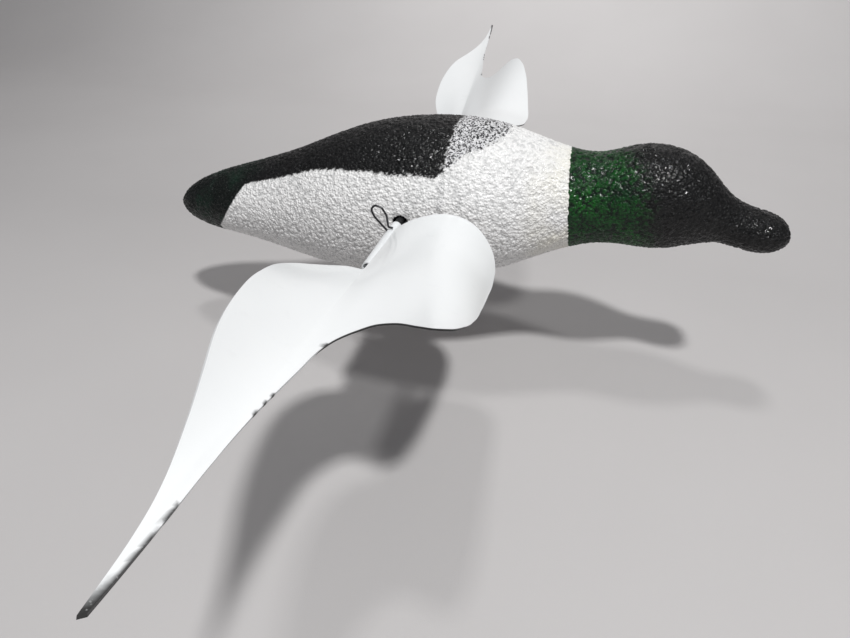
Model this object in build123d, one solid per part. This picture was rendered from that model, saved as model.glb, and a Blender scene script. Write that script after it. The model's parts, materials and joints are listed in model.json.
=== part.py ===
"""Motion wing decoy: a coated duck body on a pole socket, with two bent wings spun by a cross shaft.

Millimetres, +Z up. The origin is the centre of the pole socket's mouth, +X points to the bill
and the cross shaft runs along Y. Heights named below are measured from the shaft's centre line.
"""
import math
import os

from build123d import *

# Cross shaft and the wing sleeves that slip over its ends
AXLE_Z = 68.0
SHAFT_R = 6.35 / 2
SHAFT_HALF = 112.0
SLEEVE_R = 4.0
SLEEVE_BORE_R = SHAFT_R + 0.05
SLEEVE_START = 73.0
SLEEVE_END = 138.0

# Body and head stations: x, height of the section's centre, half height, half width
STATIONS = [
    (-229, -34.5, 4.3, 4.7),
    (-221, -33.2, 12, 13.3),
    (-202, -30.5, 21.2, 24),
    (-162, -25.6, 31.3, 34),
    (-111, -21, 44.5, 44.5),
    (-50, -11.6, 60.3, 60.3),
    (11, -2.4, 63, 63),
    (62, 0.5, 58.3, 58.3),
    (108, 5, 42.2, 42.2),
    (143, 10.5, 34.5, 34.5),
    (164, 14.9, 36.9, 36),
    (189, 15.2, 37.7, 34.6),
    (214, 12.6, 29.5, 26.6),
    (237, 4.2, 17.5, 19.3),
    (255, -1.4, 15, 20),
    (273, -3, 11.5, 17.3),
    (280.5, -3.6, 5, 9),
]
# The neck seam's plane leans back by NECK_LEAN degrees
NECK_X = 121.5
NECK_Z = 5.0
NECK_LEAN = 7.6
DOWEL_R = 6.0
DOWEL_HALF = 22.0

# Wing sheet: its bent surface is a formula, and its cut outline a spline in plan (x, y of the near wing)
SHEET_T = 1.2
WING_PHASE = 34.5
CREASE_Z = 4.6
CREASE_START = 105.0
CREASE_SWEEP = 0.105
FRONT_REACH = 80.0
FRONT_BEND = (0.24, 0.27, -0.76)
FRONT_TWIST = 2.5
REAR_REACH = 60.0
REAR_BEND = (-0.50, 0.40)
BEND_BLEND = 7.0
DIP = 2.2
DIP_WIDTH = 8.0
DIP_END = 330.0
DIP_FADE = 190.0
TWIST = -2.15
RISE_START = 120.0
RISE_LENGTH = 250.0
RISE = (56.5, 25.5)
FRONT_EDGE = [(2.8, -83), (13, -76.5), (29, -70), (44, -69), (55.5, -70.5), (66, -75.5), (73, -83),
              (76.8, -94), (78.5, -112), (79.2, -140), (80.3, -175), (80.8, -203), (79, -222),
              (74.5, -233), (68, -236.3), (60, -235.5), (48.6, -233), (40, -235.5), (32.5, -245),
              (27.2, -257), (25.2, -268), (25, -290), (25.3, -312), (27.6, -350), (31, -375.5),
              (35.2, -405)]
REAR_EDGE = [(33.9, -406.3), (26.3, -376), (15, -343.6), (6.2, -319.5), (-1.4, -298.6), (-9.7, -270.5),
             (-17.5, -238), (-21.2, -208), (-18.8, -189), (-11.5, -173.8), (-3.6, -166), (6, -161.5)]
ROOT_EDGE = [(6, -161.5), (4.2, -141), (2.6, -122), (2.2, -104), (2.8, -83)]

# Room inside the body for the motor, along X, Y and Z
MOTOR_BAY = (64.0, 92.0, 50.0)
SIDE_HOLE_R = 6.75
SIDE_HOLE_DROP = 2.5

# Motor, lying along the shaft
CAN_R = 19.0
CAN_WALL = 1.5
CAN_HALF = 28.0
CAP_T = 3.0
CAP_BOSS_R = 6.5
CAP_BOSS_T = 4.0
BUSH_R = 5.0
BUSH_BORE_R = SHAFT_R + 0.05
ARMATURE_R = 13.6
ARMATURE_HALF = 15.0
SLOT_COUNT = 5
SLOT_W = 2.2
WINDING_R = 12.0
WINDING_T = 4.0
MAGNET_T = 2.9
MAGNET_LEN = 38.0
COMMUTATOR_R = 5.5
COMMUTATOR_SPAN = (19.5, 27.5)
BRUSH = (6.0, 5.0, 4.0)

# Saddle and strap that hold the motor on the floor of its bay
SADDLE_HALF_X = 26.0
SADDLE_HALF_Y = 18.0
SADDLE_TOP = -8.0
SADDLE_FOOT = -25.0
STRAP_T = 1.5
STRAP_W = 12.0
STRAP_SCREW_X = 23.0
SADDLE_SCREW_Y = 13.5

# Pole socket under the shaft
POLE_R = 8.1
SOCKET_R = 11.0
SOCKET_TOP = -29.0
SOCKET_DEPTH = 36.0
FLANGE_R = 21.0
FLANGE_T = 3.0
FLANGE_TOP = -62.0
FLANGE_SCREW_R = 16.5

# Battery tray, open to the belly, with a door that slides off towards the tail
TRAY_X = -58.0
TRAY_INNER = (56.0, 31.0, 30.0)
TRAY_WALL = 2.0
PLATE = (72.0, 40.0, 3.0)
PLATE_TOP = -59.0
DOOR = (61.0, 34.0, 2.0)
DOOR_GAP = 0.2
RAIL_OUTER_Y = 20.0
RAIL_LIP = 1.6
CELL_R = 7.25
CELL_LEN = 48.0
CELL_PITCH = 15.0
CONTACT_T = 0.4

# Toggle switch in the belly ahead of the pole socket
SWITCH_X = 38.0
SWITCH_BOX = (17.0, 13.0, 19.0)
SWITCH_PLATE_R = 11.0
SWITCH_PLATE_TOP = -58.5
BUSHING_R = 5.0
BUSHING_LEN = 7.0
TOGGLE_TILT = 12.0
TOGGLE_LEN = 19.0

LEAD_R = 0.9

# Spring hairpin clip through the sleeve and the shaft
CLIP_Y = 87.0
CLIP_WIRE_R = 0.75
CLIP_HOLE_R = CLIP_WIRE_R + 0.05
CLIP_LEAN = 46.0

UP = (Align.CENTER, Align.CENTER, Align.MIN)
DOWN = (Align.CENTER, Align.CENTER, Align.MAX)


def at_axle(shape, x=0.0, y=0.0, z=0.0):
    """Move a shape that was drawn about the shaft's centre."""
    return Pos(x, y, AXLE_Z + z) * shape


def rod(radius, length):
    """A round bar along Y, centred on the origin."""
    return Rot(90, 0, 0) * Cylinder(radius, length)


def tube(outer_r, inner_r, length):
    """A tube along Y, centred on the origin."""
    return rod(outer_r, length) - rod(inner_r, length + 2)


def mirrored(shape):
    """The same shape on the other side of the body."""
    return mirror(shape, about=Plane.XZ)


def write(name, *shapes):
    """Write one node; pieces that don't touch stay separate solids."""
    solids = [solid for shape in shapes for solid in shape.solids()]
    node = solids[0] if len(solids) == 1 else Compound(children=solids)
    export_step(node, f"parts/{name}.step")


def screw(x, y, head_z, head_r, head_t, shank_r, shank_len):
    """A pan-head screw driven upwards, its head hanging under head_z."""
    head = Cylinder(head_r, head_t, align=DOWN) - Pos(0, 0, -head_t) * Box(head_r * 1.3, 0.8, 1.2)
    shank = Cylinder(shank_r, shank_len, align=UP)
    return at_axle(head + shank, x, y, head_z)


# ---------------------------------------------------------------- body and head

def lofted(stations):
    """A smooth solid through elliptical sections across X."""
    faces = []
    for x, z, half_h, half_w in stations:
        plane = Plane(origin=(x, 0, AXLE_Z + z), x_dir=(0, 1, 0), z_dir=(1, 0, 0))
        faces.append(plane * Ellipse(half_w, half_h))
    return loft(faces)


def neck_plane():
    lean = math.radians(NECK_LEAN)
    return Plane(origin=(NECK_X, 0, AXLE_Z + NECK_Z), z_dir=(math.cos(lean), 0, math.sin(lean)))


def neck_dowel():
    return neck_plane() * Cylinder(DOWEL_R, 2 * DOWEL_HALF)


def body_room():
    """Everything that is cut out of the two body mouldings."""
    room = at_axle(Box(*MOTOR_BAY)) + at_axle(rod(SIDE_HOLE_R, 200), z=-SIDE_HOLE_DROP)
    room += at_axle(Cylinder(SOCKET_R, SOCKET_TOP + 80, align=UP), z=-80)
    room += at_axle(Cylinder(FLANGE_R, 20, align=DOWN), z=FLANGE_TOP)
    length, width, height = TRAY_INNER
    room += at_axle(Box(length + 2 * TRAY_WALL, width + 2 * TRAY_WALL, height + TRAY_WALL, align=UP),
                    x=TRAY_X, z=PLATE_TOP)
    room += at_axle(Box(PLATE[0], PLATE[1], 20, align=DOWN), x=TRAY_X, z=PLATE_TOP)
    room += at_axle(Box(80, DOOR[1] + 4, 20, align=DOWN), x=TRAY_X - 60, z=PLATE_TOP - PLATE[2])
    room += at_axle(Box(60, 32, 11, align=UP), x=-48, z=PLATE_TOP + height + TRAY_WALL)
    room += at_axle(Box(28, 24, 37, align=UP), x=SWITCH_X, z=SWITCH_PLATE_TOP)
    room += at_axle(Cylinder(SWITCH_PLATE_R, 20, align=DOWN), x=SWITCH_X, z=SWITCH_PLATE_TOP)
    return room


def body_and_head():
    """The upper and lower mouldings, split in the shaft's plane, and the head ahead of the neck seam."""
    whole = lofted(STATIONS) - neck_dowel()
    head = whole & neck_plane() * Box(400, 400, 400, align=UP)
    body = whole & neck_plane() * Box(800, 800, 800, align=DOWN)
    body -= body_room()
    for fixing in socket_screws() + tray_screw_room() + saddle_screws() + switch_screws():
        body -= fixing
    block = Box(700, 300, 300, align=UP)
    upper = body & at_axle(block)
    lower = body & at_axle(Rot(180, 0, 0) * block)
    return upper, lower, head


# ---------------------------------------------------------------- pole socket

def pole_socket():
    """A flanged tube, closed at its top, that drops over the pole."""
    body = Cylinder(SOCKET_R, AXLE_Z + SOCKET_TOP, align=UP)
    body += Pos(0, 0, AXLE_Z + FLANGE_TOP) * Cylinder(FLANGE_R, FLANGE_T, align=DOWN)
    body -= Cylinder(POLE_R, SOCKET_DEPTH, align=UP)
    for fixing in socket_screws():
        body -= fixing
    return body


def socket_screws():
    places = [(FLANGE_SCREW_R * math.cos(math.radians(a)), FLANGE_SCREW_R * math.sin(math.radians(a)))
              for a in (45, 135, 225, 315)]
    return [screw(x, y, FLANGE_TOP - FLANGE_T, 3.0, 1.8, 1.4, 14) for x, y in places]


# ---------------------------------------------------------------- battery tray

def tray_screw_room():
    """The space that each countersunk tray screw fills."""
    places = [(dx, y) for dx in (-33, 33) for y in (-12, 12)]
    shape = Cone(2.8, 1.4, 1.6, align=UP) + Cylinder(1.4, 14, align=UP)
    return [at_axle(shape, TRAY_X + dx, y, PLATE_TOP - PLATE[2]) for dx, y in places]


def tray_screws():
    """Countersunk screws, flush with the tray's plate so that the door can pass."""
    slot_z = AXLE_Z + PLATE_TOP - PLATE[2]
    slots = [Pos(room.center().X, room.center().Y, slot_z) * Box(0.7, 4, 1.6) for room in tray_screw_room()]
    return [room - slot for room, slot in zip(tray_screw_room(), slots)]


def battery_tray():
    length, width, height = TRAY_INNER
    tray = Box(length + 2 * TRAY_WALL, width + 2 * TRAY_WALL, height + TRAY_WALL, align=UP)
    tray += Box(*PLATE, align=DOWN)
    tray -= Pos(0, 0, -10) * Box(length, width, height + 10, align=UP)
    rail_h = DOOR[2] + 2 * DOOR_GAP + RAIL_LIP
    for side in (-1, 1):
        wall_y = DOOR[1] / 2 + DOOR_GAP
        rail = Box(PLATE[0], RAIL_OUTER_Y - wall_y, rail_h, align=DOWN)
        tray += Pos(0, side * (RAIL_OUTER_Y + wall_y) / 2, -PLATE[2]) * rail
        lip_z = -PLATE[2] - DOOR[2] - 2 * DOOR_GAP
        lip = Box(PLATE[0], 2.0, RAIL_LIP, align=DOWN)
        tray += Pos(0, side * (wall_y - 0.8), lip_z) * lip
    stop = Box(2.0, 2 * RAIL_OUTER_Y, rail_h, align=DOWN)
    tray += Pos(PLATE[0] / 2 - 1, 0, -PLATE[2]) * stop
    for x in (-12, 12):
        tray -= Pos(x, 0, height) * Cylinder(1.2, 10)
    tray = at_axle(tray, TRAY_X, 0, PLATE_TOP)
    for fixing in tray_screw_room():
        tray -= fixing
    return tray


def battery_door():
    """A flat door with finger ridges, held between the tray's rails."""
    length, width, thick = DOOR
    door = Box(length, width, thick, align=DOWN)
    door = fillet(door.edges().filter_by(Axis.Z).group_by(Axis.X)[0], 2.0)
    for k in range(5):
        door += Pos(-length / 2 + 8 + 4 * k, 0, -thick) * Box(1.6, 22, 1.0, align=DOWN)
    door_x = TRAY_X + PLATE[0] / 2 - 2.0 - DOOR_GAP - length / 2
    return at_axle(door, door_x, 0, PLATE_TOP - PLATE[2] - DOOR_GAP)


def cell_places():
    """The y and z of each cell's axis, and which way its nub points."""
    floor = PLATE_TOP - 0.1
    rows = [(-1, 0), (1, 0), (-1, 1), (1, 1)]
    return [(side * CELL_PITCH / 2, floor + CELL_R + 0.2 + level * CELL_PITCH, side)
            for side, level in rows]


def dry_cells():
    cells = []
    for y, z, way in cell_places():
        cell = Cylinder(CELL_R, CELL_LEN) + Pos(0, 0, CELL_LEN / 2) * Cylinder(2.6, 1.4, align=UP)
        cells.append(at_axle(Rot(0, 90 * way, 0) * cell, TRAY_X, y, z))
    return cells


def contact_springs():
    """One coil spring behind each cell's flat end."""
    springs = []
    wire_r, coil_r = 0.35, 3.0
    room = TRAY_INNER[0] / 2 - CONTACT_T - CELL_LEN / 2
    for y, z, way in cell_places():
        turns = 2.5
        rise = room - 2 * wire_r - 0.1
        path = Helix(pitch=rise / turns, height=rise, radius=coil_r)
        section = Plane(origin=path @ 0, z_dir=path % 0) * Circle(wire_r)
        spring = sweep(section, path=path)
        start = -way * (CELL_LEN / 2 + wire_r + 0.05)
        springs.append(at_axle(Rot(0, -90 * way, 0) * spring, TRAY_X + start, y, z))
    return springs


def contact_plates():
    plates = []
    end_x = TRAY_INNER[0] / 2 - CONTACT_T / 2
    mid_z = sum(z for _, z, _ in cell_places()) / 4
    for y in (-CELL_PITCH / 2, CELL_PITCH / 2):
        for side in (-1, 1):
            plates.append(at_axle(Box(CONTACT_T, 11, 26), TRAY_X + side * end_x, y, mid_z))
    return plates


def battery_terminals():
    """Two pins through the tray's top that the leads are soldered to."""
    top = PLATE_TOP + TRAY_INNER[2] + TRAY_WALL
    return [at_axle(Cylinder(1.2, 2.0 + TRAY_WALL, align=UP), TRAY_X + x, 0, top - TRAY_WALL)
            for x in (-12, 12)]


# ---------------------------------------------------------------- switch

def switch_screws():
    return [screw(SWITCH_X, y, SWITCH_PLATE_TOP - 2.0, 1.8, 1.0, 0.9, 8) for y in (-8.6, 8.6)]


def switch_plate():
    plate = Cylinder(SWITCH_PLATE_R, 2.0, align=DOWN) - Cylinder(BUSHING_R + 0.05, 10)
    plate = at_axle(plate, SWITCH_X, 0, SWITCH_PLATE_TOP)
    for fixing in switch_screws():
        plate -= fixing
    return plate


def switch_body():
    """The switch's case and its threaded bushing, with a flared mouth for the lever."""
    case = Box(*SWITCH_BOX, align=UP) + Cylinder(BUSHING_R, BUSHING_LEN, align=DOWN)
    case -= Cylinder(2.7, 3.0, align=UP)
    case -= Pos(0, 0, -BUSHING_LEN) * Cone(4.4, 2.7, BUSHING_LEN, align=UP)
    return at_axle(case, SWITCH_X, 0, SWITCH_PLATE_TOP)


def switch_nut():
    outline = RegularPolygon(7.0, 6) - Circle(BUSHING_R + 0.05)
    return at_axle(extrude(outline, -2.2), SWITCH_X, 0, SWITCH_PLATE_TOP - 2.0)


def switch_lever():
    """A tapered lever that leans to its off side."""
    lever = Sphere(2.35) + Cone(2.3, 1.4, TOGGLE_LEN, align=DOWN)
    lever += Pos(0, 0, -TOGGLE_LEN) * Sphere(2.3)
    return at_axle(Rot(0, TOGGLE_TILT, 0) * lever, SWITCH_X, 0, SWITCH_PLATE_TOP)


def switch_tabs():
    top = SWITCH_PLATE_TOP + SWITCH_BOX[2]
    return [at_axle(Box(3.0, 0.6, 5.0, align=UP), SWITCH_X + x, 0, top) for x in (-4, 4)]


# ---------------------------------------------------------------- motor and its mount

def motor_can():
    return at_axle(tube(CAN_R, CAN_R - CAN_WALL, 2 * CAN_HALF))


def motor_cap(side):
    """An end cap with a boss that carries the bush."""
    cap = Pos(0, side * (CAN_HALF + CAP_T / 2), 0) * rod(CAN_R, CAP_T)
    boss_y = side * (CAN_HALF + CAP_T + CAP_BOSS_T / 2)
    cap += Pos(0, boss_y, 0) * rod(CAP_BOSS_R, CAP_BOSS_T)
    cap -= rod(BUSH_R, 200)
    return at_axle(cap)


def motor_bush(side):
    length = CAP_T + CAP_BOSS_T
    return at_axle(tube(BUSH_R, BUSH_BORE_R, length), y=side * (CAN_HALF + length / 2))


def motor_magnets():
    """Two arc magnets, above and below the armature."""
    outer = CAN_R - CAN_WALL
    shell = tube(outer, outer - MAGNET_T, MAGNET_LEN)
    cheeks = [Pos(side * 25, 0, 0) * Box(34, 100, 60) for side in (-1, 1)]
    for cheek in cheeks:
        shell -= cheek
    return at_axle(shell)


def motor_brushes():
    reach, width, height = BRUSH
    mid_y = sum(COMMUTATOR_SPAN) / 2
    x = COMMUTATOR_R + 0.35 + reach / 2
    return [at_axle(Box(reach, width, height), side * x, mid_y, 0) for side in (-1, 1)]


def brush_holders():
    """Brass boxes round the brushes, standing on the far end cap."""
    reach, width, height = BRUSH
    mid_y = sum(COMMUTATOR_SPAN) / 2
    x = COMMUTATOR_R + 1.5 + reach / 2
    holders = []
    for side in (-1, 1):
        box = Box(reach, width + 1.6, height + 1.6) - Box(reach + 2, width, height)
        foot_len = CAN_HALF - mid_y - width / 2 - 0.8
        foot = Pos(0, (width + 1.6 + foot_len) / 2, 0) * Box(reach, foot_len, 2.0)
        holders.append(at_axle(box + foot, side * x, mid_y, 0))
    return holders


def motor_terminals():
    start = CAN_HALF + CAP_T
    return [at_axle(Box(3.0, 5.0, 0.6), x, start + 2.5, 0) for x in (-12, 12)]


def armature_core():
    """The slotted laminated core."""
    core = tube(ARMATURE_R, SHAFT_R, 2 * ARMATURE_HALF)
    for k in range(SLOT_COUNT):
        slot = Pos(0, 0, ARMATURE_R) * Box(SLOT_W, 80, 9)
        core -= Rot(0, 360 / SLOT_COUNT * k, 0) * slot
    return at_axle(core)


def armature_windings():
    """Copper ends on both faces of the core, joined by a bar in each slot."""
    inner = SHAFT_R + 2.0
    coil = Pos(0, ARMATURE_HALF + WINDING_T / 2, 0) * tube(WINDING_R, inner, WINDING_T)
    coil += Pos(0, -ARMATURE_HALF - WINDING_T / 2, 0) * tube(WINDING_R, inner, WINDING_T)
    for k in range(SLOT_COUNT):
        bar = Pos(0, 0, 10.5) * Box(SLOT_W, 2 * ARMATURE_HALF, 2.6)
        coil += Rot(0, 360 / SLOT_COUNT * k, 0) * bar
    return at_axle(coil)


def commutator():
    start, end = COMMUTATOR_SPAN
    return at_axle(tube(COMMUTATOR_R, SHAFT_R, end - start), y=(start + end) / 2)


def saddle_screws():
    """Screws down through the saddle's corners into the body."""
    screws = []
    for x in (-STRAP_SCREW_X, STRAP_SCREW_X):
        for y in (-SADDLE_SCREW_Y, SADDLE_SCREW_Y):
            fixing = Cylinder(2.6, 1.8, align=UP) + Cylinder(1.4, 27, align=DOWN)
            screws.append(at_axle(fixing, x, y, SADDLE_TOP))
    return screws


def strap_screws():
    screws = []
    for x in (-STRAP_SCREW_X, STRAP_SCREW_X):
        fixing = Cylinder(2.2, 1.6, align=UP) + Cylinder(1.2, STRAP_T + 9, align=DOWN)
        screws.append(at_axle(fixing, x, 0, SADDLE_TOP + STRAP_T))
    return screws


def motor_saddle():
    saddle = Box(2 * SADDLE_HALF_X, 2 * SADDLE_HALF_Y, SADDLE_TOP - SADDLE_FOOT, align=UP)
    saddle = Pos(0, 0, SADDLE_FOOT) * saddle - rod(CAN_R, 100)
    saddle = at_axle(saddle)
    for fixing in saddle_screws() + strap_screws():
        saddle -= fixing
    return saddle


def motor_strap():
    """A half hoop over the can, with an ear screwed to the saddle on each side."""
    hoop = tube(CAN_R + STRAP_T, CAN_R, STRAP_W)
    hoop &= Pos(0, 0, SADDLE_TOP) * Box(100, 100, 100, align=UP)
    for side in (-1, 1):
        ear_in = CAN_R - 1.0
        ear = Box(SADDLE_HALF_X - ear_in, STRAP_W, STRAP_T, align=UP)
        ear = Pos(side * (SADDLE_HALF_X + ear_in) / 2, 0, SADDLE_TOP) * ear
        hoop += ear - rod(CAN_R, 100)
    hoop = at_axle(hoop)
    for fixing in strap_screws():
        hoop -= fixing
    return hoop


# ---------------------------------------------------------------- leads

def lead(points, radii):
    """A wire along straight runs joined by arcs."""
    path = FilletPolyline(*points, radius=radii)
    start = Plane(origin=path @ 0, z_dir=path % 0)
    wire = sweep(start * Circle(LEAD_R), path=path)
    straight = math.pi * LEAD_R ** 2 * path.length
    print(f"lead: length {path.length:.1f}, volume ratio {wire.volume / straight:.3f}, radii {radii}")
    return at_axle(wire)


def lead_routes():
    """Routes from the battery to the switch and the motor, about the shaft's centre."""
    post_z = PLATE_TOP + TRAY_INNER[2] + TRAY_WALL + 2.0 + LEAD_R
    motor_y = CAN_HALF + CAP_T + 5.0 + LEAD_R
    tab_z = SWITCH_PLATE_TOP + SWITCH_BOX[2] + 5.0 + LEAD_R
    floor = SADDLE_FOOT + 2.2
    edge_x = SADDLE_HALF_X + 3.2
    return {
        "negative_lead": [(TRAY_X + 10, 0, post_z), (-37, 2, post_z + 0.3), (-edge_x, 10, floor + 1),
                          (-edge_x + 1, 27, floor + 3), (-20, motor_y, -12), (-12, motor_y, -1.5)],
        "positive_lead": [(TRAY_X - 14, 0, post_z), (-58, -6, post_z + 0.3), (-42, -9, post_z + 0.3),
                          (-30, -14, floor + 0.5), (-25, -24, floor), (20, -28, floor),
                          (29.5, -25, floor), (29.5, -12, floor), (30, -6, floor - 4),
                          (34, -3, tab_z + 1), (34, 1, tab_z)],
        "switched_lead": [(42, -2, tab_z), (41, 4, tab_z + 1), (29.5, 8, floor - 1), (28, 20, floor),
                          (26, 30, floor + 4), (20, motor_y, -12), (12, motor_y, -1.5)],
    }


def turn_radii(points, share=0.45):
    """Each corner's arc: 0.45 of its shorter run, divided by the tangent of half the turn."""
    corners = [Vector(*p) for p in points]
    radii = []
    for before, here, after in zip(corners, corners[1:], corners[2:]):
        turn = math.radians((here - before).get_angle(after - here))
        shorter = min((here - before).length, (after - here).length)
        radii.append(share * shorter / math.tan(turn / 2))
    return radii


# ---------------------------------------------------------------- rotor and wings

def clip_direction():
    """The way a clip is pushed through the near sleeve, as (x, z)."""
    lean = math.radians(CLIP_LEAN)
    return math.cos(lean), -math.sin(lean)


def clip_bore(length):
    """A round bar along the near clip's straight leg."""
    dx, dz = clip_direction()
    bar = Plane(origin=(0, -CLIP_Y, 0), z_dir=(dx, 0, dz)) * Cylinder(CLIP_HOLE_R, length)
    return bar


def far_side(shape):
    """The far wing's place: the near one mirrored, then turned by the phase about the shaft."""
    return Rot(0, -WING_PHASE, 0) * mirrored(shape)


def wing_shaft():
    shaft = rod(SHAFT_R, 2 * SHAFT_HALF)
    shaft = chamfer(shaft.edges().filter_by(GeomType.CIRCLE), 0.6)
    shaft -= clip_bore(30)
    shaft -= far_side(clip_bore(30))
    return at_axle(shaft)


def near_sleeve():
    length = SLEEVE_END - SLEEVE_START
    sleeve = Pos(0, -(SLEEVE_START + SLEEVE_END) / 2, 0) * tube(SLEEVE_R, SLEEVE_BORE_R, length)
    return sleeve - clip_bore(30)


def eased(value, blend):
    """The value where it's positive and about nothing where it's negative, with a rounded corner."""
    return (value + math.hypot(value, blend)) / 2


def crease_x(y):
    """Where the crease lies across the wing; it sweeps forward past the sleeve."""
    return CREASE_SWEEP * eased(-y - CREASE_START, 20)


def bent_height(x, y):
    """Height of the near wing's mid-surface over a plan position."""
    out = eased(-y - RISE_START, 12) / RISE_LENGTH
    height = CREASE_Z + RISE[0] * out + RISE[1] * out ** 2 + TWIST * x * out
    u = eased(x, BEND_BLEND) / FRONT_REACH
    height += FRONT_REACH * (sum(k * u ** (n + 1) for n, k in enumerate(FRONT_BEND)) + FRONT_TWIST * out * u ** 2)
    w = eased(-x, BEND_BLEND) / REAR_REACH
    height += REAR_REACH * sum(k * w ** (n + 1) for n, k in enumerate(REAR_BEND))
    fade = min(1.0, eased(y + DIP_END, 30) / DIP_FADE)
    return height - DIP * fade * math.exp(-((x - crease_x(y)) / DIP_WIDTH) ** 2)


def sheet_section(y, columns=20):
    """The sheet's cross-section at one y, its thickness measured square to the bent surface."""
    top, bottom = [], []
    for j in range(columns + 1):
        share = 2 * j / columns - 1
        reach = math.copysign((86.0 if share > 0 else 46.0) * abs(share) ** 1.4, share)
        x = crease_x(y) * (1 - abs(share)) + reach
        z = bent_height(x, y)
        slope = math.hypot(bent_height(x + 0.5, y) - bent_height(x - 0.5, y),
                           bent_height(x, y + 0.5) - bent_height(x, y - 0.5))
        rise = SHEET_T / 2 * math.hypot(1, slope)
        top.append((x, y, z + rise))
        bottom.append((x, y, z - rise))
    bottom.reverse()
    return Face(Wire([Spline(*top), Line(top[-1], bottom[0]), Spline(*bottom), Line(bottom[-1], top[0])]))


def near_blade():
    """The bent sheet, cut to the wing's outline and clear of its sleeve."""
    sheet = loft([sheet_section(-58 - 354 * i / 24) for i in range(25)])
    outline = Wire([Spline(*FRONT_EDGE), Line(FRONT_EDGE[-1], REAR_EDGE[0]), Spline(*REAR_EDGE),
                    Spline(*ROOT_EDGE)])
    blade = sheet & extrude(make_face(outline), 150, both=True)
    return blade - Pos(0, -(SLEEVE_START + SLEEVE_END) / 2, 0) * rod(SLEEVE_R, SLEEVE_END - SLEEVE_START)


def hairpin_clip():
    """The clip on the near sleeve: a straight leg, a teardrop loop and a foot that rests on the sleeve."""
    dx, dz = clip_direction()
    points = [(7.5, 0), (-17.0, 0), (-22.6, 1.8), (-23.2, 6.6), (-18.6, 9.2), (-12.4, 8.0),
              (-5.2, 2.7), (-2.7, 4.9)]
    path = FilletPolyline(*points, radius=[7, 3.4, 3.0, 3.2, 6, 1.2])
    path = Plane(origin=(0, -CLIP_Y, 0), x_dir=(dx, 0, dz), z_dir=(0, -1, 0)) * path
    start = Plane(origin=path @ 0, z_dir=path % 0)
    return sweep(start * Circle(CLIP_WIRE_R), path=path)


def main():
    os.makedirs("parts", exist_ok=True)
    upper, lower, head = body_and_head()
    write("body_upper", upper)
    write("body_lower", lower)
    write("head_neck", head)
    write("neck_dowel", neck_dowel())
    write("pole_socket", pole_socket())
    write("socket_screws", *socket_screws())
    write("battery_tray", battery_tray())
    write("tray_screws", *tray_screws())
    write("battery_door", battery_door())
    write("dry_cells", *dry_cells())
    write("contact_springs", *contact_springs())
    write("contact_plates", *contact_plates())
    write("battery_terminals", *battery_terminals())
    write("switch_plate", switch_plate())
    write("switch_screws", *switch_screws())
    write("switch_body", switch_body())
    write("switch_nut", switch_nut())
    write("switch_lever", switch_lever())
    write("switch_tabs", *switch_tabs())
    write("motor_can", motor_can())
    for side, name in ((-1, "near"), (1, "far")):
        write(f"motor_cap_{name}", motor_cap(side))
        write(f"motor_bush_{name}", motor_bush(side))
    write("motor_magnets", motor_magnets())
    write("motor_brushes", *motor_brushes())
    write("brush_holders", *brush_holders())
    write("motor_terminals", *motor_terminals())
    write("motor_saddle", motor_saddle())
    write("motor_strap", motor_strap())
    write("saddle_screws", *saddle_screws())
    write("strap_screws", *strap_screws())
    for name, points in lead_routes().items():
        write(name, lead(points, turn_radii(points)))
    write("armature_core", armature_core())
    write("armature_windings", armature_windings())
    write("commutator", commutator())
    write("wing_shaft", wing_shaft())
    for name, shape in (("sleeve", near_sleeve()), ("blade", near_blade()), ("clip", hairpin_clip())):
        write(f"near_{name}", at_axle(shape))
        write(f"far_{name}", at_axle(far_side(shape)))


main()
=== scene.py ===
import json
import math

import bmesh
import bpy
import numpy as np
from mathutils import Matrix, Vector
from mathutils.geometry import delaunay_2d_cdt
from mathutils.kdtree import KDTree


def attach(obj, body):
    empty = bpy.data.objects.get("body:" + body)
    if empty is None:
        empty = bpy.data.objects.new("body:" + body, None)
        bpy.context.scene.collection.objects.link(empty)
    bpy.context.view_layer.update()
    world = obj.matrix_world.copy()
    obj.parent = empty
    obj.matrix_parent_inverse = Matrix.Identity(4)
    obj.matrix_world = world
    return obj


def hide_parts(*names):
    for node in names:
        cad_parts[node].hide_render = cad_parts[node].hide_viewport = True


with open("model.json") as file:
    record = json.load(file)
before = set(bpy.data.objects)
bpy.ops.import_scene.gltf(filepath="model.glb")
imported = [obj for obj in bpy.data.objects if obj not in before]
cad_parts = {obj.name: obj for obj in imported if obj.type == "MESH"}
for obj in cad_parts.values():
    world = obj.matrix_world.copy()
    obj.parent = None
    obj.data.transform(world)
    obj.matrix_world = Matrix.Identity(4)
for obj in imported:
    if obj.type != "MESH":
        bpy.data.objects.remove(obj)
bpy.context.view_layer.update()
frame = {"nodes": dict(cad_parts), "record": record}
RNG = np.random.default_rng(7)

# Sizes are in metres, except in the blocks marked mm
MM = 0.001
AXLE = Vector((0, 0, 0.068))
AXLE_MM = AXLE.z / MM


# ---------------------------------------------------------------- materials

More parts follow.
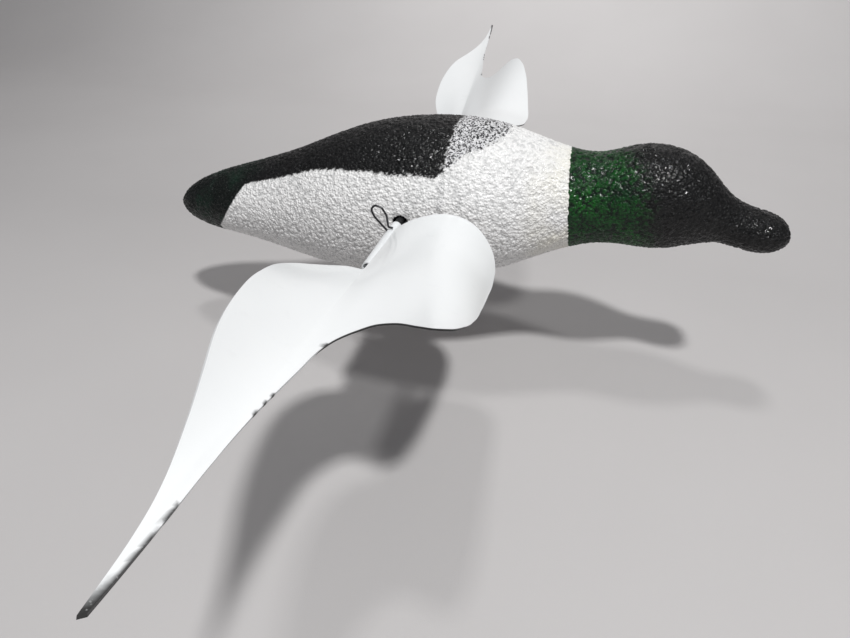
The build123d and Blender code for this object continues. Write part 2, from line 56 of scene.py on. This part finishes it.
class Shader:
    """A small builder for node materials."""

    def __init__(self, name):
        self.material = bpy.data.materials.new(name)
        self.material.use_nodes = True
        self.nodes = self.material.node_tree.nodes
        self.links = self.material.node_tree.links
        self.bsdf = self.nodes["Principled BSDF"]

    def put(self, socket, value):
        """Link a socket to another node's output, or set it to a constant."""
        if isinstance(value, bpy.types.NodeSocket):
            self.links.new(value, socket)
        else:
            socket.default_value = value

    def set(self, **values):
        for name, value in values.items():
            self.put(self.bsdf.inputs[name.replace("_", " ")], value)
        return self

    def attribute(self, name):
        node = self.nodes.new("ShaderNodeAttribute")
        node.attribute_name = name
        return node.outputs["Fac"]

    def place(self):
        return self.nodes.new("ShaderNodeTexCoord").outputs["Object"]

    def noise(self, scale, detail=3.0, rough=0.5):
        node = self.nodes.new("ShaderNodeTexNoise")
        self.put(node.inputs["Vector"], self.place())
        node.inputs["Scale"].default_value = scale
        node.inputs["Detail"].default_value = detail
        node.inputs["Roughness"].default_value = rough
        return node.outputs["Fac"]

    def cells(self, scale, output="Distance"):
        node = self.nodes.new("ShaderNodeTexVoronoi")
        self.put(node.inputs["Vector"], self.place())
        node.inputs["Scale"].default_value = scale
        return node.outputs[output]

    def math(self, operation, a, b):
        node = self.nodes.new("ShaderNodeMath")
        node.operation = operation
        self.put(node.inputs[0], a)
        self.put(node.inputs[1], b)
        return node.outputs[0]

    def span(self, value, low, high, to_low=0.0, to_high=1.0):
        """Stretch low..high to to_low..to_high, clamped."""
        node = self.nodes.new("ShaderNodeMapRange")
        self.put(node.inputs["Value"], value)
        limits = {"From Min": low, "From Max": high, "To Min": to_low, "To Max": to_high}
        for name, number in limits.items():
            node.inputs[name].default_value = number
        return node.outputs["Result"]

    def mix(self, factor, a, b):
        """Colour a where the factor is 0, and colour b where it is 1."""
        node = self.nodes.new("ShaderNodeMix")
        node.data_type = "RGBA"
        self.put(node.inputs["Factor"], factor)
        sockets = [s for s in node.inputs if s.type == "RGBA"]
        for socket, colour in zip(sockets, (a, b)):
            self.put(socket, colour if isinstance(colour, bpy.types.NodeSocket) else (*colour, 1))
        return [s for s in node.outputs if s.type == "RGBA"][0]

    def bump(self, height, distance, strength):
        node = self.nodes.new("ShaderNodeBump")
        self.put(node.inputs["Height"], height)
        node.inputs["Distance"].default_value = distance
        node.inputs["Strength"].default_value = strength
        self.put(self.bsdf.inputs["Normal"], node.outputs["Normal"])
        return self


def plain(name, colour, metallic=0.0, rough=0.5, wear=0.06, scale=400.0, **extra):
    """A plain finish with a slight unevenness in its gloss and tone."""
    s = Shader(name)
    uneven = s.noise(scale, 4.0, 0.6)
    darker = tuple(c * (1 - 2 * wear) for c in colour)
    s.set(Base_Color=s.mix(uneven, colour, darker), Metallic=metallic,
          Roughness=s.span(uneven, 0.3, 0.7, rough - wear, rough + wear), **extra)
    return s.material


def coating():
    """Glossy paint over coarse crumbs, its colours chosen by the masks painted on the mesh."""
    s = Shader("crumb_coating")
    dark, speckle, green, tail = (s.attribute(k) for k in ("dark", "speckle", "green", "tail"))
    height = s.attribute("crumb")
    grain = s.noise(900, 4.0, 0.65)
    tone = s.noise(38, 3.0, 0.6)
    pits = s.span(s.cells(560), 0.15, 0.75, 1.0, 0.0)
    facet = s.cells(620, output="Color")
    # The white is painted darker down between the crumbs and in the pits, and lighter on the crumb tops:
    # painted shade in the hollows
    lit = s.math("MULTIPLY", s.span(height, 0.0, 0.45), s.span(pits, 0.0, 0.5, 0.55, 1.0))
    white = s.mix(lit, (0.66, 0.66, 0.655), (0.90, 0.895, 0.885))
    creamy = s.math("MULTIPLY", s.attribute("cream"), s.span(tone, 0.35, 0.65))
    cream = s.mix(creamy, white, (0.86, 0.84, 0.76))
    black = s.mix(s.span(facet, 0.3, 0.8), (0.0012, 0.0012, 0.0013), (0.010, 0.010, 0.0105))
    green_black = s.mix(s.span(tone, 0.45, 0.7), (0.002, 0.004, 0.003), (0.006, 0.022, 0.013))
    tail_black = s.mix(tail, black, green_black)
    leaf = s.mix(s.span(tone, 0.35, 0.68), (0.0015, 0.034, 0.007), (0.009, 0.105, 0.012))
    # The green is painted near-black down between the crumbs and full green on the raised crumbs: painted
    # shade in the hollows
    lit_green_crumbs = s.math("MULTIPLY", s.span(height, 0.0, 0.6), s.span(facet, 0.2, 0.8, 0.35, 1.0))
    leaf = s.mix(lit_green_crumbs, (0.0008, 0.009, 0.003), leaf)
    flakes = s.span(s.cells(950, output="Color"), 0.35, 0.6)
    silver = s.mix(flakes, (0.02, 0.02, 0.022), (0.72, 0.72, 0.73))
    colour = s.mix(dark, cream, tail_black)
    colour = s.mix(speckle, colour, silver)
    colour = s.mix(green, colour, leaf)
    gloss = s.math("MAXIMUM", dark, s.math("MAXIMUM", green, speckle))
    shine = s.math("MULTIPLY", gloss, s.span(facet, 0.45, 0.85))
    rough = s.math("ADD", s.span(shine, 0, 1, 0.50, 0.10), s.span(grain, 0.35, 0.65, -0.05, 0.08))
    relief = s.math("ADD", pits, s.math("MULTIPLY", grain, 0.5))
    s.set(Base_Color=colour, Roughness=rough, Specular_IOR_Level=0.18,
          Coat_Weight=0.3, Coat_Roughness=0.1)
    return s.bump(relief, 0.0007, 0.9).material


def wing_paint():
    """Glossy white paint, bare where it is chipped, and near-black on the lower edge of the leading rim."""
    s = Shader("wing_paint")
    soft = s.noise(14, 3.0, 0.55)
    white = s.mix(soft, (0.84, 0.855, 0.855), (0.79, 0.81, 0.815))
    grime = s.span(s.noise(60, 6.0, 0.7), 0.62, 0.80, 0.0, 0.10)
    white = s.mix(grime, white, (0.42, 0.42, 0.42))
    broken = s.span(s.noise(900, 3.0, 0.6), 0.30, 0.42, 0.7, 1.0)
    chipped_and_dark_rim = s.math("MULTIPLY", s.attribute("chip"), broken)
    # The lower part of the rim along the leading half of the sheet is coloured near-black
    chipped_and_dark_rim = s.math("MAXIMUM", chipped_and_dark_rim, s.span(s.attribute("under"), 0.10, 0.22))
    rough = s.math("ADD", s.span(chipped_and_dark_rim, 0, 1, 0.20, 0.5), s.span(soft, 0.3, 0.7, -0.03, 0.05))
    s.set(Base_Color=s.mix(chipped_and_dark_rim, white, (0.014, 0.014, 0.014)), Roughness=rough,
          Coat_Weight=0.3, Coat_Roughness=0.1)
    return s.bump(s.noise(55, 2.0, 0.5), 0.0006, 0.06).material


def wing_back():
    """The dark underside of the sheet."""
    s = Shader("wing_back")
    soft = s.noise(80, 4.0, 0.6)
    s.set(Base_Color=s.mix(soft, (0.016, 0.016, 0.017), (0.008, 0.008, 0.009)),
          Roughness=s.span(soft, 0.3, 0.7, 0.34, 0.46))
    return s.material


FINISHES = {
    "black_plastic": plain("black_plastic", (0.02, 0.02, 0.021), rough=0.48),
    "steel": plain("zinc_steel", (0.62, 0.63, 0.65), metallic=1.0, rough=0.32),
    "cell_jacket": plain("cell_jacket", (0.06, 0.07, 0.09), metallic=0.6, rough=0.35),
    "brass": plain("brass", (0.80, 0.58, 0.26), metallic=1.0, rough=0.3),
    "chrome": plain("chrome", (0.82, 0.82, 0.84), metallic=1.0, rough=0.12, wear=0.03),
    "magnet": plain("magnet", (0.05, 0.05, 0.055), metallic=0.3, rough=0.6),
    "carbon": plain("carbon", (0.03, 0.03, 0.03), rough=0.6),
    "black_lead": plain("black_lead", (0.015, 0.015, 0.015), rough=0.4),
    "red_lead": plain("red_lead", (0.45, 0.015, 0.012), rough=0.4),
    "core_iron": plain("core_iron", (0.32, 0.32, 0.33), metallic=1.0, rough=0.5),
    "copper": plain("copper", (0.72, 0.33, 0.18), metallic=1.0, rough=0.35),
    "wood_dowel": plain("wood_dowel", (0.60, 0.44, 0.26), rough=0.7, scale=90),
    "spring_steel": plain("spring_steel", (0.07, 0.07, 0.075), metallic=1.0, rough=0.34),
    "dark_shaft": plain("dark_shaft", (0.03, 0.03, 0.032), metallic=0.8, rough=0.45),
    "white_paint": plain("sleeve_paint", (0.78, 0.80, 0.81), rough=0.22, wear=0.03, Coat_Weight=0.3),
}
COATING = coating()
WING_PAINT = wing_paint()
WING_BACK = wing_back()


# ---------------------------------------------------------------- crumb coating

# In metres: the crumbs, the door's clearance, and how far the paint's edges wander with the crumbs
CRUMB_SPACING = 0.0020
CRUMB_RISE = 0.0010
CRUMB_SPREAD = 0.95 * CRUMB_SPACING
DOOR_CLEARANCE = 0.0014
MASK_WANDER = 0.0035
MASK_FRAY = 0.0004


def joined_copy(name, *nodes):
    """One new mesh object with the shapes of some CAD nodes."""
    mesh = bpy.data.meshes.new(name)
    built = bmesh.new()
    for node in nodes:
        built.from_mesh(frame["nodes"][node].data)
    built.to_mesh(mesh)
    built.free()
    obj = bpy.data.objects.new(name, mesh)
    bpy.context.scene.collection.objects.link(obj)
    return obj


def remesh(obj, voxel):
    """Rebuild a closed mesh as an even skin of small quads."""
    even = obj.modifiers.new("even", "REMESH")
    even.mode = "VOXEL"
    even.voxel_size = voxel
    bpy.context.view_layer.objects.active = obj
    bpy.ops.object.modifier_apply(modifier=even.name)


def rows_of(source, field):
    """One row of three numbers for each vertex or normal."""
    values = np.empty(len(source) * 3)
    source.foreach_get(field, values)
    return values.reshape(-1, 3)


def surface_points(mesh):
    """Random points on a mesh, about one per square of the crumbs' spacing."""
    mesh.calc_loop_triangles()
    corners = np.empty(len(mesh.loop_triangles) * 3, np.int32)
    mesh.loop_triangles.foreach_get("vertices", corners)
    a, b, c = (rows_of(mesh.vertices, "co")[corners.reshape(-1, 3)[:, k]] for k in range(3))
    area = np.linalg.norm(np.cross(b - a, c - a), axis=1) / 2
    pick = RNG.choice(len(area), int(area.sum() / CRUMB_SPACING ** 2), p=area / area.sum())
    u, v = RNG.random((2, len(pick), 1))
    over = u + v > 1
    u, v = np.where(over, 1 - u, u), np.where(over, 1 - v, v)
    return a[pick] + u * (b[pick] - a[pick]) + v * (c[pick] - a[pick])


def crumbs(mesh, keep):
    """Height of the crumb over each vertex, 0 to 1; keep is 0 where no crumbs stick."""
    points = surface_points(mesh)
    size = RNG.uniform(0.55, 1.0, len(points))
    tree = KDTree(len(points))
    for index, point in enumerate(points):
        tree.insert(point, index)
    tree.balance()
    height = np.zeros(len(mesh.vertices))
    for index, place in enumerate(rows_of(mesh.vertices, "co")):
        if keep[index] > 0:
            for _, found, distance in tree.find_n(place, 3):
                dome = size[found] * (1 - (distance / (CRUMB_SPREAD * size[found])) ** 2)
                height[index] = max(height[index], dome)
    return height * keep


def put_attribute(mesh, name, values):
    mesh.attributes.new(name, "FLOAT", "POINT").data.foreach_set("value", values.astype(np.float32))


def step(value, edge, width):
    """0 below the edge and 1 above it, over a width."""
    t = np.clip((value - edge) / width + 0.5, 0, 1)
    return t * t * (3 - 2 * t)


def coat(obj, paint):
    """Raise crumbs on the outside of a moulding, and paint it."""
    mesh = obj.data
    co, normal = rows_of(mesh.vertices, "co"), rows_of(mesh.vertex_normals, "vector")
    outside = outer_share(co)
    runway = door_path(co)
    coated = outside * ~runway
    height = crumbs(mesh, coated)
    rough = RNG.normal(0, 0.06, len(co)) * coated
    co += normal * ((height + rough) * CRUMB_RISE)[:, None]
    co[runway, 2] += DOOR_CLEARANCE
    mesh.vertices.foreach_set("co", co.ravel())
    mesh.update()
    put_attribute(mesh, "crumb", height)
    ragged = (height - 0.45) * MASK_WANDER + RNG.normal(0, MASK_FRAY, len(co))
    for name, values in paint(co / MM, ragged / MM).items():
        shown = np.maximum(values, 1 - outside) if name == "dark" else values * outside
        put_attribute(mesh, name, shown)
    for polygon in mesh.polygons:
        polygon.use_smooth = True
    mesh.materials.clear()
    mesh.materials.append(COATING)
    return obj


# The body's sections along X: x, centre height over the shaft, half height and half width, in mm
STATIONS = np.array([
    (-229, -34.5, 4.3, 4.7), (-221, -33.2, 12, 13.3), (-202, -30.5, 21.2, 24), (-162, -25.6, 31.3, 34),
    (-111, -21, 44.5, 44.5), (-50, -11.6, 60.3, 60.3), (11, -2.4, 63, 63), (62, 0.5, 58.3, 58.3),
    (108, 5, 42.2, 42.2), (143, 10.5, 34.5, 34.5), (164, 14.9, 36.9, 36), (189, 15.2, 37.7, 34.6),
    (214, 12.6, 29.5, 26.6), (237, 4.2, 17.5, 19.3), (255, -1.4, 15, 20), (273, -3, 11.5, 17.3),
    (280.5, -3.6, 5, 9)])

# In mm: where the blunt ends begin, the side holes, the socket's recess, the door's path and the black tail.
# Heights are over the shaft, but the socket's is over the origin.
TAIL_CAP_X = -218
BILL_CAP_X = 270
SIDE_HOLE_DROP = 2.5
SIDE_HOLE_REACH = 8.3
SIDE_HOLE_OUTER_Y = 61.5
SOCKET_REACH = 23.5
SOCKET_FLOOR_Z = 4
DOOR_PATH_X = (-160, -77)
DOOR_PATH_HALF = 19.5
DOOR_PATH_TOP = -57.5
TAIL_END_X = -181


def section(x):
    """Centre height, half height and half width of the body about the shaft's level, in mm."""
    return [np.interp(x, STATIONS[:, 0], STATIONS[:, k]) for k in (1, 2, 3)]


def outer_share(co):
    """1 on the coated outside, 0 in the bays and holes."""
    x, y, z = (co / MM).T
    middle, half_h, half_w = section(x)
    reach = np.hypot(y / half_w, (z - AXLE_MM - middle) / half_h)
    capped = (x < TAIL_CAP_X) | (x > BILL_CAP_X)
    in_hole = (np.hypot(x, z - AXLE_MM + SIDE_HOLE_DROP) < SIDE_HOLE_REACH) & (np.abs(y) < SIDE_HOLE_OUTER_Y)
    in_socket = (np.hypot(x, y) < SOCKET_REACH) & (z < SOCKET_FLOOR_Z)
    return np.where(capped, 1.0, step(reach, 0.9, 0.05)) * ~in_hole * ~in_socket


def door_path(co):
    """The bare stretch of the belly that the battery door slides under."""
    x, y, z = (co / MM).T
    low, high = DOOR_PATH_X
    return (x > low) & (x < high) & (np.abs(y) < DOOR_PATH_HALF) & (z < AXLE_MM + DOOR_PATH_TOP)


def around(co):
    """The angle from the top, in degrees, at which each point lies on its section."""
    x, y, z = co.T
    middle, half_h, half_w = section(x)
    return np.degrees(np.arctan2(np.abs(y) / half_w, (z - AXLE_MM - middle) / half_h))


def body_paint(co, ragged):
    """Masks for the black back, the speckled patch ahead of it, the dark tail and the warm breast."""
    x = co[:, 0]
    angle = around(co)
    back_edge = np.interp(x, (TAIL_END_X, -165, -156, -148, -128, -103, -81, -42, -8, 24, 30),
                          (124, 86, 65, 47, 44.7, 44.4, 44.2, 50, 55.5, 57.2, 52))
    back_front = 32 - 0.075 * angle + ragged
    back = step(back_edge - angle + ragged * 0.8, 0, 1.6) * step(back_front - x, 0, 1.5)
    dark = np.where(x < TAIL_END_X, 1.0, back)
    patch_front = np.interp(angle, (0, 10, 22, 32.5, 40, 46, 52), (69.5, 68, 64.5, 54, 43, 36, 28))
    speckle = step(x - back_front, 0, 2.5) * step(patch_front + ragged * 2 - x, 0, 3.5)
    green_tail = step(-140 - x, 0, 22) * dark
    return {"dark": dark, "speckle": speckle * (1 - dark), "tail": green_tail,
            "green": np.zeros(len(x)), "cream": step(x, 96, 30)}


def head_paint(co, ragged):
    """Masks for the green neck, which fades to black on the head and bill."""
    x = co[:, 0]
    angle = around(co)
    green_end = np.interp(angle, (0, 10, 64, 127, 180), (152, 154, 168, 181, 186))
    green = step(green_end - x + ragged * 2.2, 0, 24)
    none = np.zeros(len(x))
    return {"dark": np.ones(len(x)), "speckle": none, "tail": none, "green": green, "cream": none}


# ---------------------------------------------------------------- wings

# The near wing's cut outline in plan, in mm
FRONT_EDGE = [(2.8, -83), (13, -76.5), (29, -70), (44, -69), (55.5, -70.5), (66, -75.5), (73, -83),
              (76.8, -94), (78.5, -112), (79.2, -140), (80.3, -175), (80.8, -203), (79, -222),
              (74.5, -233), (68, -236.3), (60, -235.5), (48.6, -233), (40, -235.5), (32.5, -245),
              (27.2, -257), (25.2, -268), (25, -290), (25.3, -312), (27.6, -350), (31, -375.5),
              (35.2, -405)]
REAR_EDGE = [(33.9, -406.3), (26.3, -376), (15, -343.6), (6.2, -319.5), (-1.4, -298.6), (-9.7, -270.5),
             (-17.5, -238), (-21.2, -208), (-18.8, -189), (-11.5, -173.8), (-3.6, -166), (6, -161.5)]
ROOT_EDGE = [(6, -161.5), (4.2, -141), (2.6, -122), (2.2, -104), (2.8, -83)]
SHEET_T = 1.2
EDGE_SPACING = 1.5
EDGE_GAP = 1.1
SLOPE_REACH = 0.2
WING_PHASE = math.radians(34.5)

# The bend of the sheet, in mm: its crease, its front and rear parts, its rise towards the tip, the dip and
# the sharp line along the crease, and the roll of the outer leading edge
CREASE_Z = 4.6
CREASE_START = 105
CREASE_SWEEP = 0.105
BEND_BLEND = 7
FRONT_REACH = 80
FRONT_BEND = (0.24, 0.27, -0.76)
FRONT_TWIST = 2.5
REAR_REACH = 60
REAR_BEND = (-0.50, 0.40)
RISE_START = 120
RISE_LENGTH = 250
RISE = (56.5, 25.5)
TWIST = -2.15
DIP = 2.2
DIP_WIDTH = 8
DIP_END = 330
DIP_FADE = 190
LINE_DEPTH = 0.75
LINE_WIDTH = 2.2
LINE_START = 140
ROLL_SLOPE = 0.22
ROLL_WIDTH = 3.6
ROLL_START = 320

# Chips in the paint: x, y, half length along the wing and half width across it, in mm
CHIPS = [(26, -264, 2.2, 1.6), (25.3, -310, 1.6, 0.9), (25.6, -316, 1.1, 0.8),
         (25.9, -323, 2.0, 1.1), (30.9, -373.5, 4.2, 1.5)]


def through(points):
    """Points at even spacing on a smooth curve through some points."""
    p = np.array(points, float)
    chord = np.concatenate([[0], np.cumsum(np.linalg.norm(np.diff(p, axis=0), axis=1))])
    slope = np.gradient(p, chord, axis=0)
    at = np.linspace(0, chord[-1], max(3, int(chord[-1] / EDGE_SPACING)))
    k = np.clip(np.searchsorted(chord, at, side="right") - 1, 0, len(p) - 2)
    h = (chord[k + 1] - chord[k])[:, None]
    t = (at[:, None] - chord[k][:, None]) / h
    start, end = (2 * t ** 3 - 3 * t ** 2 + 1), (3 * t ** 2 - 2 * t ** 3)
    leave, arrive = (t ** 3 - 2 * t ** 2 + t), (t ** 3 - t ** 2)
    return start * p[k] + end * p[k + 1] + h * (leave * slope[k] + arrive * slope[k + 1])


def eased(value, blend):
    """The value where it's positive and about nothing where it's negative, with a rounded corner."""
    return (value + np.hypot(value, blend)) / 2


def crease_x(y):
    """Where the crease lies across the wing; it sweeps forward past the sleeve."""
    return CREASE_SWEEP * eased(-y - CREASE_START, 20)


def front_x(y):
    """The leading edge's place across the wing, towards the tip."""
    return np.interp(-y, (300, 312, 350, 375.5, 405), (25.1, 25.3, 27.6, 31, 35.2))


def bent_height(x, y):
    """Height of the near wing's mid-surface over the shaft's centre, in mm.

    Past the plain bend there is a sharp line along the crease, and the outer leading edge is rolled down.
    """
    out = eased(-y - RISE_START, 12) / RISE_LENGTH
    height = CREASE_Z + RISE[0] * out + RISE[1] * out ** 2 + TWIST * x * out
    u = eased(x, BEND_BLEND) / FRONT_REACH
    front = sum(k * u ** (n + 1) for n, k in enumerate(FRONT_BEND)) + FRONT_TWIST * out * u ** 2
    w = eased(-x, BEND_BLEND) / REAR_REACH
    rear = sum(k * w ** (n + 1) for n, k in enumerate(REAR_BEND))
    beside = x - crease_x(y)
    fade = np.minimum(1, eased(y + DIP_END, 30) / DIP_FADE)
    dip = DIP * np.exp(-(beside / DIP_WIDTH) ** 2)
    line = LINE_DEPTH * np.exp(-np.hypot(beside, 0.6) / LINE_WIDTH) * np.clip((-y - LINE_START) / 12, 0, 1)
    roll = eased(ROLL_WIDTH - (front_x(y) - x), 0.5) * np.clip((-y - ROLL_START) / 30, 0, 1)
    return height + FRONT_REACH * front + REAR_REACH * rear - fade * (dip + line) - ROLL_SLOPE * roll


def sheet_layers(x, y):
    """Middle points of the sheet and their upward directions."""
    ahead, behind = bent_height(x + SLOPE_REACH, y), bent_height(x - SLOPE_REACH, y)
    inward, outward = bent_height(x, y + SLOPE_REACH), bent_height(x, y - SLOPE_REACH)
    dx = (ahead - behind) / (2 * SLOPE_REACH)
    dy = (inward - outward) / (2 * SLOPE_REACH)
    up = np.stack([-dx, -dy, np.ones(len(x))], 1)
    return np.stack([x, y, bent_height(x, y)], 1), up / np.linalg.norm(up, axis=1)[:, None]


def plan_faces():
    """The near wing's outline filled with small faces in plan, finer beside the crease."""
    outline = np.concatenate([through(FRONT_EDGE), through(REAR_EDGE), through(ROOT_EDGE)[1:-1]])
    edges = [(i, (i + 1) % len(outline)) for i in range(len(outline))]
    tree = KDTree(len(outline))
    for index, (px, py) in enumerate(outline):
        tree.insert((px, py, 0), index)
    tree.balance()
    columns = np.concatenate([np.arange(-44, -4, 2.0), np.arange(-4, 4, 0.5), np.arange(4, 88, 2.0)])
    grid = [(column + crease_x(py), py) for py in np.arange(-404, -64, 2.5) for column in columns]
    inner = [Vector(p) for p in grid if tree.find((*p, 0))[2] > EDGE_GAP]
    points, _, faces, *_ = delaunay_2d_cdt([Vector(p) for p in outline] + inner, edges, [], 1, 1e-4)
    used = sorted({v for face in faces for v in face})
    place = {v: k for k, v in enumerate(used)}
    x, y = np.array([points[v][:] for v in used]).T
    return x, y, [tuple(place[v] for v in face) for face in faces]


def blade_mesh(name):
    """The near wing: a thin sheet with a white top and rim and a dark underside."""
    x, y, tops = plan_faces()
    count = len(x)
    middle, up = sheet_layers(x, y)
    if sum(orient(middle, face) for face in tops) < 0:
        tops = [f[::-1] for f in tops]
    unders = [tuple(v + count for v in f[::-1]) for f in tops]
    sides = {pair for f in tops for pair in zip(f, f[1:] + f[:1])}
    rims = [(b, a, a + count, b + count) for a, b in sides if (b, a) not in sides]
    verts = np.concatenate([middle + up * SHEET_T / 2, middle - up * SHEET_T / 2]) * MM + np.array(AXLE)
    mesh = bpy.data.meshes.new(name)
    mesh.from_pydata([tuple(v) for v in verts], [], tops + unders + rims)
    put_attribute(mesh, "chip", np.tile(wing_chips(x, y), 2))
    put_attribute(mesh, "under", np.concatenate([np.zeros(count), leading_share(x, y)]))
    mesh.shade_smooth()
    mesh.materials.append(WING_PAINT)
    mesh.materials.append(WING_BACK)
    normals = []
    for index, polygon in enumerate(mesh.polygons):
        polygon.material_index = int(len(tops) <= index < 2 * len(tops))
        for vertex in polygon.vertices:
            if index < len(tops):
                normals.append(up[vertex])
            elif index < 2 * len(tops):
                normals.append(-up[vertex - count])
            else:
                normals.append(polygon.normal)
    mesh.normals_split_custom_set(normals)
    return mesh


def orient(points, face):
    """Positive where a face turns anticlockwise, seen from above."""
    a, b, c = (points[v] for v in face[:3])
    return float(np.cross(b - a, c - a)[2])


def leading_share(x, y):
    """1 on the leading half of the sheet, where the lower part of the cut edge is coloured near-black."""
    return step(x - crease_x(y) + np.clip((-y - 370) / 3, 0, 12), 8, 4)


def wing_chips(x, y):
    """Bare patches along the leading edge and the tip."""
    chip = np.zeros(len(x))
    for px, py, along, across in CHIPS:
        spot = 1 - np.hypot((x - px) / across, (y - py) / along) ** 2
        chip = np.maximum(chip, np.clip(2.2 * spot, 0, 1))
    tip_width = 0.25 + np.clip((-y - 393) / 4, 0, 3)
    tip = np.clip(1.5 - (front_x(y) - x) / tip_width, 0, 1) * np.clip((-y - 378) / 4, 0, 1)
    return np.maximum(chip, tip)


def make_wings():
    """Both wings; the far one is the near one mirrored and turned on the shaft."""
    near = bpy.data.objects.new("near_wing_skin", blade_mesh("near_wing_skin"))
    far_mesh = near.data.copy()
    turn = Matrix.Rotation(-WING_PHASE, 4, "Y") @ Matrix.Scale(-1, 4, (0, 1, 0))
    far_mesh.transform(Matrix.Translation(AXLE) @ turn @ Matrix.Translation(-AXLE))
    far_mesh.flip_normals()
    far = bpy.data.objects.new("far_wing_skin", far_mesh)
    for obj, node in ((near, "near_blade"), (far, "far_blade")):
        bpy.context.scene.collection.objects.link(obj)
        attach(obj, "wing_rotor")
        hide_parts(node)


# ---------------------------------------------------------------- build

body = joined_copy("coated_body", "body_upper", "body_lower")
head = joined_copy("coated_head", "head_neck")
VOXEL = 0.0008
for obj, nodes, paint, slot in ((body, ("body_upper", "body_lower"), body_paint, "coated_foam"),
                                (head, ("head_neck",), head_paint, "coated_head")):
    remesh(obj, VOXEL)
    coat(obj, paint)
    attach(obj, "decoy_body")
    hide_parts(*nodes)
make_wings()

# Every other CAD node keeps its mesh and takes the finish of its slot
for part in frame["record"]["subparts"]:
    finish = FINISHES.get(part["material_slot"])
    node = frame["nodes"][part["node"]]
    if finish and not node.hide_render:
        node.data.materials.clear()
        node.data.materials.append(finish)
        for polygon in node.data.polygons:
            polygon.material_index = 0


# ---------------------------------------------------------------- stage, light and camera

# The stage and the camera, in metres and degrees, with the lens in mm
FLOOR_Z = -0.09
STAGE_HALF = 8.0
CURVE_Y = 0.9
CURVE_R = 0.8
WALL_TOP = 4.0
CAMERA_AZIMUTH = 13.82
CAMERA_ELEVATION = 33.93
CAMERA_ROLL = 0.98
CAMERA_LENS = 24.79
CAMERA_FROM_AXLE = Vector((0.1159, -0.4513, 0.1842))


def cloth():
    """The stage's pale matt cloth."""
    s = Shader("pale_cloth")
    stain = s.noise(3.0, 3.0, 0.5)
    s.set(Base_Color=s.mix(stain, (0.56, 0.545, 0.54), (0.50, 0.485, 0.48)), Roughness=0.9)
    return s.bump(s.noise(1400, 2.0, 0.5), 0.0003, 0.2).material


def backdrop():
    """A pale floor that curves up into a wall behind the decoy."""
    profile = [(-STAGE_HALF, 0.0), (CURVE_Y, 0.0)]
    for turn in np.linspace(0.05, math.pi / 2, 16):
        profile.append((CURVE_Y + CURVE_R * math.sin(turn), CURVE_R - CURVE_R * math.cos(turn)))
    profile.append((CURVE_Y + CURVE_R, WALL_TOP))
    verts = [(side * STAGE_HALF, y, FLOOR_Z + z) for y, z in profile for side in (-1, 1)]
    faces = [(2 * k, 2 * k + 1, 2 * k + 3, 2 * k + 2) for k in range(len(profile) - 1)]
    mesh = bpy.data.meshes.new("backdrop")
    mesh.from_pydata(verts, [], faces)
    mesh.shade_smooth()
    mesh.materials.append(cloth())
    obj = bpy.data.objects.new("backdrop", mesh)
    bpy.context.scene.collection.objects.link(obj)


def area_light(name, place, target, size, power):
    """A square lamp that faces its target."""
    data = bpy.data.lights.new(name, "AREA")
    data.size = size
    data.energy = power
    light = bpy.data.objects.new(name, data)
    light.location = place
    light.rotation_mode = "QUATERNION"
    light.rotation_quaternion = (Vector(target) - Vector(place)).to_track_quat("-Z", "Y")
    bpy.context.scene.collection.objects.link(light)


def make_camera():
    """Looks down at the near side from in front of the wing."""
    azimuth, elevation, roll = (math.radians(v) for v in (CAMERA_AZIMUTH, CAMERA_ELEVATION, CAMERA_ROLL))
    level = Vector((-math.sin(azimuth), math.cos(azimuth), 0))
    right = Vector((math.cos(azimuth), math.sin(azimuth), 0))
    forward = level * math.cos(elevation) - Vector((0, 0, math.sin(elevation)))
    up = level * math.sin(elevation) + Vector((0, 0, math.cos(elevation)))
    tilted_right = right * math.cos(roll) + up * math.sin(roll)
    tilted_up = up * math.cos(roll) - right * math.sin(roll)
    data = bpy.data.cameras.new("camera")
    data.sensor_width = 36
    data.lens = CAMERA_LENS
    data.clip_start = 0.01
    camera = bpy.data.objects.new("camera", data)
    turn = Matrix((tilted_right, tilted_up, -forward)).transposed().to_4x4()
    camera.matrix_world = Matrix.Translation(AXLE + CAMERA_FROM_AXLE) @ turn
    bpy.context.scene.collection.objects.link(camera)
    bpy.context.scene.camera = camera


def make_world():
    """Faint cool light from all around."""
    world = bpy.data.worlds.new("studio")
    world.use_nodes = True
    background = world.node_tree.nodes["Background"]
    background.inputs["Color"].default_value = (0.93, 0.94, 1.0, 1)
    background.inputs["Strength"].default_value = 0.20
    bpy.context.scene.world = world


backdrop()
make_camera()
make_world()
area_light("key", (0.58, -0.92, 1.81), (0.03, -0.12, 0.06), 0.15, 33)
area_light("overhead", (-0.05, -0.05, 1.55), (0, -0.05, 0.05), 0.16, 4.6)
area_light("wall_wash", (0, 0.75, 1.30), (0, 2.6, 0.6), 1.0, 14)
bpy.context.scene.view_settings.view_transform = "Standard"
